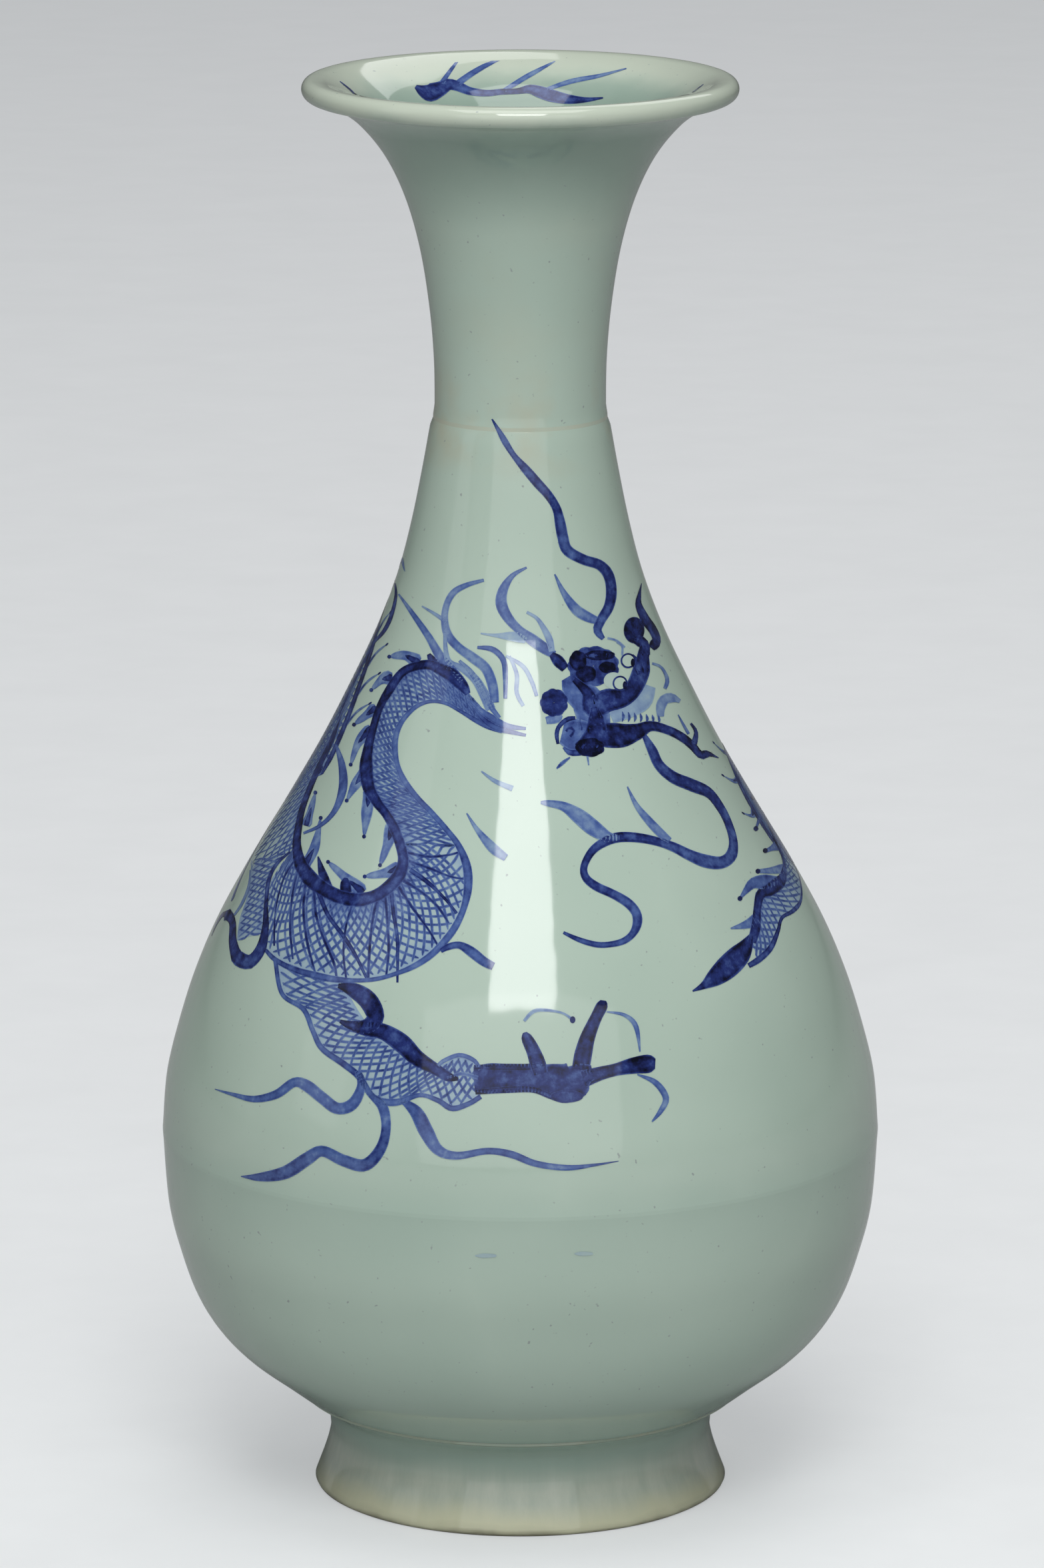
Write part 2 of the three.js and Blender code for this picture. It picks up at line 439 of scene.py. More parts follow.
def foot_material():
    """Thin glaze with upright streaks that turns yellowish towards a dark, chipped standing edge."""
    mat, tree, bsdf = new_material("foot_glaze")
    coords = tree.nodes.new("ShaderNodeTexCoord")
    squash = tree.nodes.new("ShaderNodeMapping")
    squash.inputs["Scale"].default_value = (1, 1, 0.06)
    tree.links.new(coords.outputs["Object"], squash.inputs["Vector"])
    streak = noise(tree, 230, 5.0, 0.65, squash.outputs["Vector"])
    colour = ramp(tree, streak.outputs["Fac"],
                  [(0.3, (0.43, 0.50, 0.43)), (0.5, (0.49, 0.55, 0.47)), (0.7, (0.55, 0.60, 0.52))])
    height = height_of(tree)
    low = band_mask(tree, height, [(0.0, 1), (0.0028, 0.9), (0.0065, 0.1), (0.02, 0)], 0.8)
    colour = mix(tree, "MIX", low, colour.outputs["Color"], (0.66, 0.65, 0.44))
    top = band_mask(tree, height, [(0.0, 0), (0.009, 0), (0.0145, 1), (0.03, 1)], 0.85)
    colour = mix(tree, "MIX", top, colour, GLAZE_POOLED_AND_SHADE)
    edge = band_mask(tree, height, [(0.0, 1), (0.0004, 1), (0.0013, 0), (0.3, 0)], 0.7)
    colour = mix(tree, "MIX", edge, colour, (0.14, 0.13, 0.09))
    tree.links.new(colour, bsdf.inputs["Base Color"])
    glaze_gloss(tree, bsdf)
    return mat


def slip_material():
    """Slip under the same glaze, a little paler and warmer than the walls."""
    mat, tree, bsdf = new_material("slip")
    spread = noise(tree, 120, 4.0)
    colour = mix(tree, "MIX", spread.outputs["Fac"], glaze_colour(tree), (0.55, 0.55, 0.43))
    tree.links.new(colour, bsdf.inputs["Base Color"])
    glaze_gloss(tree, bsdf)
    return mat


def cobalt_material():
    """Underglaze cobalt: tone 0 is bare glaze, 1 is the darkest pooled blue."""
    mat, tree, bsdf = new_material("cobalt")
    tone = tree.nodes.new("ShaderNodeAttribute")
    tone.attribute_name = "tone"
    heap = noise(tree, 420, 5.0, 0.65)
    speck = tree.nodes.new("ShaderNodeMapRange")
    speck.inputs["From Min"].default_value = 0.3
    speck.inputs["From Max"].default_value = 0.7
    speck.inputs["To Min"].default_value = 0.72
    speck.inputs["To Max"].default_value = 1.22
    tree.links.new(heap.outputs["Fac"], speck.inputs["Value"])
    both = tree.nodes.new("ShaderNodeMath")
    both.operation = "MULTIPLY"
    both.use_clamp = True
    tree.links.new(tone.outputs["Fac"], both.inputs[0])
    tree.links.new(speck.outputs["Result"], both.inputs[1])
    blue = ramp(tree, both.outputs["Value"], [
        (0.0, GLAZE_LIGHT), (0.22, (0.25, 0.36, 0.50)), (0.45, (0.075, 0.13, 0.34)),
        (0.68, (0.018, 0.032, 0.16)), (0.86, (0.006, 0.009, 0.05)), (1.0, (0.002, 0.003, 0.012)),
    ])
    tree.links.new(blue.outputs["Color"], bsdf.inputs["Base Color"])
    glaze_gloss(tree, bsdf)
    return mat


# Surface under the brush

class Surface:
    """Outer and inner outlines as functions of height, and rays of the view that meet them."""

    def __init__(self):
        p = props()
        lower, upper, neck = outlines()
        outer = np.vstack([lower, upper[1:], neck, lip_arc(-60, 0, 6)])
        order = np.argsort(outer[:, 1])
        self.outer = outer[order]
        inner = inset(neck, p.neck_wall, p.neck_wall)
        inner = inner[inner[:, 1] < p.height - 0.8 * MM]
        edge = [(p.mouth_radius - p.lip_radius - MM, p.height)]
        self.inner = np.vstack([inner, edge])
        pitch = p.camera_pitch
        self.eye = np.array([p.camera_side, -p.camera_distance, p.camera_height])
        self.ahead = np.array([0, math.cos(pitch), -math.sin(pitch)])
        self.up = np.array([0, math.sin(pitch), math.cos(pitch)])
        self.focus = p.lens / SENSOR * VIEW_H
        self.rim = p.height - 0.1 * MM

    def radius(self, z, inside=False):
        line = self.inner if inside else self.outer
        return np.interp(z, line[:, 1], line[:, 0])

    def hit(self, xy, inside=False, turn=0.0):
        """Points of the surface seen at picture places (x, y); turn walks the eye round the vase."""
        xy = np.atleast_2d(np.asarray(xy, float))
        across = (xy[:, 0] - VIEW_W / 2) / self.focus
        high = (VIEW_H / 2 - xy[:, 1]) / self.focus
        d = self.ahead + across[:, None] * np.array([1, 0, 0]) + high[:, None] * self.up
        reach, half_depth = -self.eye[1], 0.12
        t = np.linspace(reach - half_depth, reach + half_depth, 500)
        z = self.eye[2] + d[:, 2:3] * t
        rho = np.hypot(self.eye[0] + d[:, 0:1] * t, self.eye[1] + d[:, 1:2] * t)
        gap = rho - self.radius(z, inside)
        if inside:
            gap = np.where(z > self.rim, -1, gap)
            first = np.argmax(gap > 0, axis=1)
        else:
            first = np.argmax(gap < 0, axis=1)
            missed = ~(gap < 0).any(axis=1)
            first[missed] = np.argmin(gap[missed], axis=1)
        first = np.clip(first, 1, len(t) - 1)
        rows = np.arange(len(xy))
        low, high_t = t[first - 1], t[first]
        g0, g1 = gap[rows, first - 1], gap[rows, first]
        k = np.clip(np.where(np.abs(g1 - g0) > 1e-9, g0 / (g0 - g1 + 1e-12), 0.5), 0, 1)
        at = low + (high_t - low) * k
        out = self.eye + d * at[:, None]
        c, s = math.cos(turn), math.sin(turn)
        return np.column_stack([out[:, 0] * c - out[:, 1] * s, out[:, 0] * s + out[:, 1] * c, out[:, 2]])

    def unrolled(self, xy, turn):
        """Points of the surface from a flat drawing: across is measured round the vase, down is height."""
        z = DRAWING_MIDDLE_Z - (xy[:, 1] - DRAWING_MIDDLE) * DRAWING_STEP
        r = self.radius(z)
        ang = turn - math.pi / 2 + (xy[:, 0] - VIEW_W / 2) / (PIXELS_PER_METRE * r)
        return np.column_stack([r * np.cos(ang), r * np.sin(ang), z])

    def snap(self, pts, lift, inside=False):
        """Moves points along the radius to the surface, lifted by the paint's thickness."""
        pts = np.asarray(pts, float)
        r = self.radius(pts[:, 2], inside)
        h = 0.2 * MM
        above, below = self.radius(pts[:, 2] + h, inside), self.radius(pts[:, 2] - h, inside)
        slope = (above - below) / (2 * h)
        ang = np.arctan2(pts[:, 1], pts[:, 0])
        n = np.column_stack([np.cos(ang), np.sin(ang), -slope])
        n /= np.linalg.norm(n, axis=1)[:, None]
        if inside:
            n = -n
        base = np.column_stack([r * np.cos(ang), r * np.sin(ang), pts[:, 2]])
        return base + n * lift, n


class Painting:
    """Collects brush strokes as thin strips of mesh that lie on the glaze."""

    def __init__(self, surface, inside=False, turn=0, flat=False):
        self.surface = surface
        self.inside = inside
        self.turn = math.radians(turn)
        self.flat = flat
        self.verts = []
        self.normals = []
        self.tones = []
        self.faces = []
        self.count = 0

    def at(self, xy):
        if self.flat:
            return self.surface.unrolled(xy, self.turn)
        return self.surface.hit(xy, self.inside, self.turn)

    def add_grid(self, grid, tones, lift):
        rows, cols = grid.shape[:2]
        pts, nrm = self.surface.snap(grid.reshape(-1, 3), lift, self.inside)
        self.verts.append(pts)
        self.normals.append(nrm)
        self.tones.append(np.asarray(tones, float).reshape(-1))
        p, n = pts.reshape(rows, cols, 3), nrm.reshape(rows, cols, 3)
        facing = np.cross(p[1:, :-1] - p[:-1, 1:], p[1:, 1:] - p[:-1, :-1])
        inward = np.einsum("ijk,ijk->ij", facing, n[:-1, :-1]) < 0
        for i in range(rows - 1):
            for j in range(cols - 1):
                a = self.count + i * cols + j
                q = [a, a + cols, a + cols + 1, a + 1]
                self.faces.append(q[::-1] if inward[i, j] else q)
        self.count += len(pts)

    def stroke(self, text, width, tone, shape="both", lift=0.06):
        """One brush stroke through picture places; width is in picture steps at its fullest."""
        line, k = self.path(places(text))
        if shape == "both":
            w = np.minimum(1, np.minimum(k / 0.12, (1 - k) / 0.2)) ** 0.6
        elif shape == "tail":
            w = np.minimum(1, (k + 0.04) / 0.06) * (1 - k) ** 0.5
        elif shape == "head":
            w = np.minimum(1, (1 - k + 0.04) / 0.06) * k ** 0.5
        elif shape == "leaf":
            w = np.sin(np.pi * np.clip(k, 0.02, 0.98)) ** 0.8
        else:
            w = np.minimum(1, np.minimum(k, 1 - k) / 0.03 + 0.4)
        self.lay(line, width * np.maximum(w * (1 + 0.09 * np.sin(k * 9 + line[0, 0])), 0.06), tone, lift)

    def trace(self, tone, text, lift=0.07):
        """One brush stroke whose width is given at each place."""
        line, _ = self.path(places(text))
        self.lay(line[:, :2], np.maximum(line[:, 2], 0.6), tone, lift)

    def path(self, xy):
        length = np.linalg.norm(np.diff(xy[:, :2], axis=0), axis=1).sum()
        n = int(np.clip(length / 5, 5, 220))
        return spline(xy, n), np.linspace(0, 1, n + 1)

    def lay(self, line, widths, tone, lift):
        """Ribbon along a line of the picture; its paint thins out at both edges."""
        k = np.linspace(0, 1, len(line))
        along = np.gradient(line[:, :2], axis=0)
        along /= np.linalg.norm(along, axis=1)[:, None] + 1e-12
        side = np.column_stack([-along[:, 1], along[:, 0]])
        half = HALF_WIDTH * widths
        offs, across = np.array(FINE_STROKE if np.max(widths) < FINE_WIDTH else BROAD_STROKE)
        xy = line[:, None, :2] + side[:, None, :] * (half[:, None] * offs)[:, :, None]
        grid = self.at(xy.reshape(-1, 2)).reshape(len(line), len(offs), 3)
        centre = self.at(line[:, :2])[:, None, :]
        reach = np.linalg.norm(grid - centre, axis=2, keepdims=True)
        most = MOST_STRETCH * half[:, None, None] / PIXELS_PER_METRE
        grid = centre + (grid - centre) * np.minimum(1, most / np.maximum(reach, 1e-9))
        flow = 1 - 0.16 * np.sin(k * 7 + line[-1, 1]) ** 2
        self.add_grid(grid, tone * flow[:, None] * across, lift * MM)

    def band(self, first, second, tones, lift=0.02):
        """A wash between two lines of the picture, its tone set at even steps from one to the other."""
        a, b = places(first), places(second)
        n, cols = 70, 8
        la, lb = spline(a, n), spline(b, n)
        f = np.linspace(0, 1, cols)
        xy = la[:, None, :] * (1 - f)[:, None] + lb[:, None, :] * f[:, None]
        grid = self.at(xy.reshape(-1, 2)).reshape(n + 1, cols, 3)
        tone = np.interp(f, np.linspace(0, 1, len(tones)), tones)
        wobble = 1 + 0.12 * np.sin(np.linspace(0, 23, n + 1))[:, None]
        self.add_grid(grid, wobble * tone[None, :], lift * MM)

    def scales(self, first, second, count, width, tone, reach=0.10, lift=0.05):
        """Two crossing families of lines between the two outlines."""
        a, b = places(first), places(second)
        n = 400
        la, lb = spline(a, n), spline(b, n)
        for lean in (1, -1):
            for i in range(count):
                s0 = (i + 0.5) / count
                f = np.linspace(0.06, 0.94, 9)
                s = np.clip(s0 + lean * reach * (f - 0.5), 0, 1)
                at = s * n
                pa = np.column_stack([np.interp(at, np.arange(n + 1), la[:, c]) for c in (0, 1)])
                pb = np.column_stack([np.interp(at, np.arange(n + 1), lb[:, c]) for c in (0, 1)])
                self.stroke(pa * (1 - f)[:, None] + pb * f[:, None], width, tone, "even", lift)

    def strokes(self, rows, lift=0.07):
        for row in rows:
            if len(row) == 2:
                self.trace(*row, lift)
            else:
                width, tone, form, text = row
                self.stroke(text, width, tone, form, lift)

    def fins(self, text, width):
        """Leaf-like fins from root to tip, each with a dark root and a dot at its tip."""
        for fin in text.split("|"):
            self.fin_stroke(places(fin), width)

    def body(self, centre, widths, count, tone=0.6, fin=40):
        """A scaled body along a centre line: wash, scales, belly line, dark spine and its fins."""
        line = spline(places(centre), 120)
        along = np.gradient(line, axis=0)
        along /= np.linalg.norm(along, axis=1)[:, None]
        side = np.column_stack([-along[:, 1], along[:, 0]])
        half = np.interp(np.linspace(0, 1, 121), np.linspace(0, 1, len(widths)), widths)[:, None] / 2
        back, front = line + side * half, line - side * half
        self.band(back, front, [0.5, 0.22, 0.14, 0.14, 0.2])
        self.scales(back, front, count, 3.0, tone, 0.09)
        self.stroke(front, 8, 0.7, "even")
        self.stroke(back, 14, 0.92, "even")
        if fin:
            for i in range(8, 116, 5):
                root = back[i]
                tip = root + side[i] * fin + along[i] * fin * 0.7
                bend = (root + tip) / 2 + along[i] * fin * 0.22 - side[i] * 2
                self.fin_stroke([root, bend, tip], fin * 0.3)

    def fin_stroke(self, line, width):
        line = np.asarray(line, float)
        self.stroke(line, width, 0.5, "tail", 0.05)
        root = [line[0], (line[0] + line[1]) / 2, line[1]]
        self.stroke(root, width * 0.6, 0.9, "tail", 0.06)
        self.blob(line[-1][0], line[-1][1], 2.8, 2.8, 0.8, 0)

    def paw(self, x, y, heading, size):
        """Palm, four toes and their long thin claws."""
        h = math.radians(heading)
        for spread in (-75, -25, 20, 150):
            a = h + math.radians(spread)
            d = np.array([math.cos(a), math.sin(a)])
            n = np.array([-d[1], d[0]]) * (1 if spread > 0 else -1)
            start = np.array([x, y], float)
            knee = start + d * size * 0.6 + n * size * 0.1
            toe = start + d * size * 1.15
            self.stroke([start, knee, toe], size * 0.34, 0.95, "even", 0.07)
            claw = [(-0.1, 0), (0.28, -0.1), (0.42, -0.42), (0.3, -0.75)]
            claw = [toe + d * size * out + n * size * bend for out, bend in claw]
            self.stroke(claw, size * 0.1, 0.65, "both", 0.06)
        self.blob(x, y, size * 0.42, size * 0.36, 0.95, 5)

    def blob(self, x, y, rx, ry, tone, lobes, lift=0.074):
        """A round spot of paint; lobes are the scallops of its edge."""
        a = np.linspace(0, 2 * np.pi, 41)
        edge = 1 + (0.09 * np.abs(np.sin(a * lobes / 2)) if lobes else 0)
        k = np.array([0.02, 0.35, 0.7, 0.94, 1.04])
        reach = k[:, None] * edge
        xy = np.stack([x + rx * reach * np.cos(a), y + ry * reach * np.sin(a)], -1)
        grid = self.at(xy.reshape(-1, 2)).reshape(len(k), len(a), 3)
        shade = np.array([0.92, 0.92, 0.94, 1, 0.8])[:, None] * np.ones(len(a))
        self.add_grid(grid, tone * shade, lift * MM)

    def blobs(self, rows):
        for row in rows:
            self.blob(*row)

    def build(self, name):
        verts = np.vstack(self.verts)
        mesh = bpy.data.meshes.new(name)
        mesh.from_pydata(verts.tolist(), [], self.faces)
        mesh.polygons.foreach_set("use_smooth", [True] * len(mesh.polygons))
        tone = mesh.attributes.new("tone", "FLOAT", "POINT")
        tone.data.foreach_set("value", np.concatenate(self.tones).astype(np.float32))
        obj = bpy.data.objects.new(name, mesh)
        bpy.context.scene.collection.objects.link(obj)
        mesh.normals_split_custom_set_from_vertices(np.vstack(self.normals).tolist())
        return obj


def places(text):
    if isinstance(text, str):
        return np.array([[float(v) for v in pair.split(",")] for pair in text.split()])
    return np.asarray(text, float)


# Brush strokes as places in the 1568 by 2354 view: tone and places with the width at each, or
# width, tone, form and places

SPINE = (
    "703,1042,8 695,1030,16 679,1014,20 660,1004,16 645,998,14 622,1001,12 603,1011,12 587,1033,14 "
    "571,1061,12 561,1092,12 553,1124,15 550,1152,19 554,1182,17 566,1204,14 580,1222,12 592,1243,14 "
    "601,1267,14 606,1291,15 600,1313,18 585,1331,18 564,1345,17 539,1351,19 512,1347,19 487,1335,20 "
    "466,1319,22 451,1295,18 446,1267,16 449,1239,16 455,1212,15 469,1175,16 484,1141,15 499,1110,14 "
    "512,1072,10 531,1025,13 548,991,12 561,966,10 577,947,11 588,924,11 595,893,9 593,864,7 602,835,5 "
    "612,800,3"
)
BELLY = (
    "754,1099,4 733,1091,7 714,1081,7 692,1068,5 670,1056,5 647,1053,5 625,1061,6 606,1080,7 596,1100,8 "
    "593,1122,9 597,1148,7 607,1172,9 626,1197,8 649,1221,8 671,1246,8 689,1270,9 701,1300,12 "
    "703,1331,12 697,1362,9 684,1391,10 667,1414,10 646,1435,9 621,1451,8 594,1462,6 564,1470,6 "
    "533,1472,6 502,1470,9 472,1464,10 441,1455,8 414,1441,7 399,1426,5"
)
BELLY_LEFT = "400,1390 401,1350 408,1320 434,1284"
FLANK_EDGE = "430,1284 378,1300 386,1274 404,1240 420,1212 437,1186 456,1148 474,1110 492,1070 514,1030"
LIMB_OUTER = "378,1292 372,1343 360,1380 356,1412"
LIMB_INNER = "432,1281 405,1320 400,1358 395,1400"
LEG_TOP = "508,1473 522,1490 540,1520 564,1552 600,1576 640,1596 667,1597 690,1584 718,1597"
LEG_LOW = (
    "414,1443 424,1492 456,1515 470,1547 484,1574 516,1597 539,1616 562,1648 594,1655 630,1644 "
    "658,1652 679,1664 704,1657 722,1646"
)
TAIL_SPINE = "1168,1262 1177,1294 1174,1319 1157,1336 1140,1342 1137,1367 1135,1392 1129,1415"
TAIL_EDGE = (
    "1170,1266 1182,1284 1196,1305 1203,1330 1202,1353 1190,1368 1174,1378 1168,1398 1157,1423 "
    "1138,1440"
)

# Dark lines that fan out from the coil
FAN = [
    "588,1340,6 591,1371,5 597,1411,5 597,1475,3", "567,1352,5 561,1374,4 556,1414,4 553,1469,4",
    "579,1346,4 582,1386,4 584,1426,4 580,1466,3", "478,1338,7 493,1374,6 515,1404,6 533,1432,5 551,1469,4",
    "472,1338,5 475,1374,4 487,1411,4 502,1447,4 506,1472,3", "616,1306,7 643,1325,6 668,1349,4 686,1371,4",
    "606,1322,5 634,1340,4 658,1362,4 674,1386,3", "597,1328,5 619,1362,4 643,1395,3 658,1420,3",
    "612,1280,4 642,1286,4 672,1284,3 694,1278,3", "612,1292,4 646,1304,4 676,1316,3 700,1320,3",
    "450,1300,4 440,1340,4 436,1390,4 440,1440,3", "460,1322,5 456,1366,4 462,1416,4 474,1462,3",
    "446,1286,4 426,1320,4 414,1368,3 412,1420,3", "530,1356,4 520,1390,3 516,1430,3 520,1468,3",
]

# Mane, horns and whiskers round the head
MANE = [
    (0.8, "739,629,2 749,646,6 758,662,9 772,684,8 790,705,12 808,726,13 824,744,12 836,764,12 842,790,15 "
          "845,806,15 852,826,15 876,840,14 900,848,14 914,864,15 918,888,15 914,911,14 903,930,13 "
          "897,944,12 900,952,10 906,959,6"),
    (0.55, "833,862,2 846,889,8 864,914,14 882,926,14 900,933,9"),
    (0.55, "791,852,3 770,864,7 756,885,13 753,906,16 762,926,14 779,945,12 800,961,16 817,973,15 "
           "832,983,11"),
    (0.35, "791,919,4 806,928,5 817,944,8 825,960,10 829,978,8"),
    (0.28, "722,951,2 744,954,5 773,956,14 790,962,8"),
    (0.55, "599,892,3 622,924,7 644,956,10 663,988,13 682,1007,10 694,1022,8"),
    (0.4, "634,910,2 657,924,5 670,934,6"),
    (0.5, "727,871,4 702,878,7 682,889,9 671,908,9 668,931,10 673,953,12 689,972,12 711,988,14 730,1004,14 "
          "740,1030,14 743,1055,12"),
    (0.6, "717,972,4 740,975,8 756,991,8 759,1017,7 759,1049,5"),
    (0.42, "668,950,4 673,991,8 695,1004,10 714,1020,12 727,1042,14 737,1065,14"),
    (0.5, "690,992,4 706,1008,8 722,1030,9 734,1056,8 750,1078,6"),
    (0.4, "765,985,4 776,1012,6 776,1040,6 786,1060,5"),
    (0.4, "760,985,4 785,1000,6 798,1022,6 806,1045,5"),
    (0.6, "706,1052,4 724,1068,8 742,1080,10 762,1090,8 790,1094,4"),
    (0.7, "712,1064,3 724,1078,7 740,1090,9 756,1096,8 790,1104,4"),
]

# Head: washes first, then the dark masses, then hairs and teeth
HEAD_WASH = [
    (0.62, "850,1018,14 862,1036,34 880,1050,44 890,1072,46 892,1096,44"),
    (0.6, "844,1100,30 862,1104,46 880,1106,40 892,1110,30"),
    (0.5, "843,1073,6 836,1078,14 820,1082,10"),
    (0.3, "976,1030,16 966,1052,24 944,1066,22 918,1078,16"),
    (0.42, "992,1076,10 992,1062,14 998,1050,14 1010,1048,13 1021,1053,7"),
]
HEAD_DARK = [
    (1.0, "828,982,8 838,992,16 849,1004,12"),
    (0.92, "862,1020,8 882,1040,16 890,1062,30 911,1052,32 935,1047,27 952,1032,24 963,1006,24 966,984,18 "
           "969,970,16"),
    (0.98, "963,876,2 960,892,8 959,908,14 969,929,20 981,946,22 986,961,20 978,973,10"),
    (0.95, "952,960,10 966,966,18 970,984,14"),
    (0.95, "948,984,6 957,998,14 962,1012,12"),
    (0.98, "866,1124,14 880,1118,24 896,1104,30 916,1104,34 936,1104,32 958,1098,22 978,1090,14 1005,1097,12 "
           "1026,1108,14 1040,1120,15 1052,1133,13 1064,1132,9 1079,1138,2"),
    (0.98, "892,1062,10 895,1080,22 896,1100,30"),
    (0.9, "1037,1086,5 1045,1099,9 1042,1117,11"),
    (0.55, "1018,1073,2 1026,1088,5 1034,1102,6"),
    (0.9, "838,1117,4 836,1102,6 840,1090,6 852,1080,7 864,1078,5"),
    (0.8, "846,1122,3 856,1130,8 872,1130,8"),
    (0.85, "850,1098,4 856,1092,5 862,1098,4 856,1106,4"),
    (0.5, "979,996,3 993,1002,5 1002,1020,8 998,1034,5"),
    (0.4, "926,964,3 934,970,3 934,984,3"),
    (0.4, "912,958,3 926,962,3 938,972,3"),
    (0.65, "856,1137,2 844,1146,5 836,1154,2"),
    (0.5, "882,1134,3 884,1149,2"),
]
WHISKERS = [
    (0.8, "966,1102,6 979,1126,13 990,1149,14 1011,1167,16 1037,1178,17 1064,1190,17 1081,1211,16 "
          "1093,1234,15 1101,1262,15 1098,1284,16 1083,1295,17 1060,1293,18 1036,1284,15 1012,1272,13 "
          "989,1264,12 960,1258,13 930,1257,14 908,1264,13 889,1278,11 877,1301,10 880,1318,11 896,1331,12 "
          "920,1342,12 942,1355,13 955,1370,13 957,1386,13 950,1402,10 936,1413,9 915,1418,8 895,1418,8 "
          "870,1411,7 846,1400,4"),
    (0.5, "812,1205,4 823,1206,9 847,1211,13 870,1226,21 891,1243,22 912,1256,15 930,1258,6"),
    (0.5, "942,1181,2 955,1208,7 973,1231,11 993,1252,12 1006,1262,8"),
    (0.35, "723,1158,2 744,1173,6 770,1184,8"),
    (0.45, "701,1221,2 717,1246,7 740,1273,14 760,1288,10"),
    (0.7, "662,1428,6 672,1422,9 690,1419,10 708,1429,14 726,1443,13 741,1451,11"),
]

# Flame-like fins on the spine, each from its root to its tip
FINS = (
    "629,995 609,984 585,986|590,1017 574,1020 558,1036|558,1092 538,1116 527,1148|"
    "550,1156 534,1178 521,1202|556,1186 552,1212 547,1256|590,1236 584,1262 571,1299|"
    "603,1302 582,1310 548,1316|546,1340 524,1322 493,1294|456,1302 472,1274 482,1228|"
    "460,1240 468,1212 474,1190|478,1160 486,1150 494,1136|566,1062 550,1074 532,1088"
)

BODY_LINES = [
    (0.65, "505,1118,5 514,1150,12 515,1184,14 503,1217,9 482,1239,6 456,1251,4"),
    (0.95, "496,1342,14 486,1316,13 478,1286,2"),
    (0.9, "520,1340,16 519,1326,14 520,1318,5"),
    (0.95, "644,982,5 650,992,12 660,1002,10"),
    (0.6, "531,1025,3 522,1052,5 508,1082,5 496,1108,3"),
    (0.92, "436,1279,4 416,1297,7 404,1322,9 400,1358,8 399,1392,12 392,1424,18 376,1443,20 358,1438,21 "
           "350,1414,19 349,1384,18 337,1372,18 326,1386,12 318,1405,3"),
    (0.5, "376,1306,4 374,1330,8 364,1356,9 352,1374,6"),
]

# Foreleg, paw, claws and the ribbons at the elbow
LEG_LINES = [
    (0.65, "414,1443,6 424,1492,6 456,1515,7 470,1547,7 484,1574,8 516,1597,9 539,1616,9 562,1648,9 "
           "594,1655,10 630,1644,6 658,1652,7 679,1664,8 704,1657,7 722,1646,7"),
    (0.95, "508,1480,6 530,1486,20 553,1502,26 564,1527,24 550,1541,20 526,1539,12 511,1533,5"),
    (0.95, "530,1542,12 548,1544,20 576,1549,22 603,1566,26 626,1588,22 654,1605,16 672,1616,14 688,1620,4"),
    (0.55, "658,1600,5 666,1593,6 690,1584,6 712,1592,6 721,1606,5"),
    (0.6, "672,1618,3 694,1612,5 718,1618,5"),
    (0.86, "712,1620,34 735,1619,41 759,1619,40 805,1619,38 830,1622,46 846,1626,54 862,1624,50 876,1614,34 "
           "890,1610,20"),
    (0.98, "712,1602,6 750,1602,9 790,1602,9 806,1600,8"),
    (0.98, "714,1640,6 760,1636,9 800,1636,8 828,1646,8 850,1652,7 872,1640,6"),
    (0.95, "812,1612,20 808,1598,22 801,1578,19 791,1558,15 788,1550,5"),
    (0.97, "872,1606,24 876,1582,24 883,1556,20 895,1528,16 904,1510,16 906,1502,8"),
    (0.97, "876,1620,24 900,1612,19 924,1606,17 950,1600,22 974,1597,25 984,1597,14"),
    (0.5, "911,1519,2 938,1524,5 955,1541,7 961,1579,2"),
    (0.55, "957,1613,2 984,1625,8 1000,1648,9 992,1668,7 979,1684,2"),
    (0.4, "860,1531,4 842,1520,3 805,1517,5 787,1533,4"),
    (0.6, "537,1607,8 543,1630,12 530,1657,16 507,1664,16 484,1648,16 461,1630,16 442,1625,13 415,1643,12 "
          "382,1650,9 350,1643,5 323,1635,1"),
    (0.66, "540,1612,8 557,1643,8 575,1662,14 580,1694,13 571,1726,15 548,1749,17 516,1742,16 484,1728,15 "
           "461,1740,18 429,1760,18 392,1767,12 362,1766,1"),
    (0.62, "598,1652,6 608,1655,9 626,1671,18 640,1698,20 658,1726,15 686,1735,11 732,1728,9 768,1733,10 "
           "805,1747,9 851,1753,8 892,1749,4 929,1743,1"),
]

# Tail that comes round from the back
TAIL_LINES = [
    (0.92, "1133,1188,3 1143,1210,10 1154,1238,11 1166,1266,9 1177,1294,10 1174,1319,18 1157,1335,18 "
           "1142,1343,14 1137,1367,12 1135,1392,14 1129,1415,12"),
    (0.85, "1170,1266,4 1182,1284,6 1196,1305,6 1203,1330,6 1202,1353,7 1190,1368,6 1174,1378,5 1168,1398,6 "
           "1157,1423,8 1140,1440,9 1124,1450,7"),
    (0.92, "1128,1404,6 1120,1420,20 1110,1434,30 1092,1452,32 1073,1468,24 1056,1480,10 1040,1488,2"),
    (0.7, "1146,1218,10 1140,1230,9 1135,1245,4"),
    (0.7, "1137,1192,4 1131,1197,6"),
    (0.6, "1166,1270,14 1158,1274,7 1149,1278,5"),
    (0.5, "1176,1304,14 1157,1307,9 1138,1308,5"),
    (0.62, "1167,1322,12 1148,1324,20 1131,1326,15 1121,1336,9 1111,1349,3"),
    (0.55, "1138,1380,20 1121,1388,12 1097,1394,2"),
]

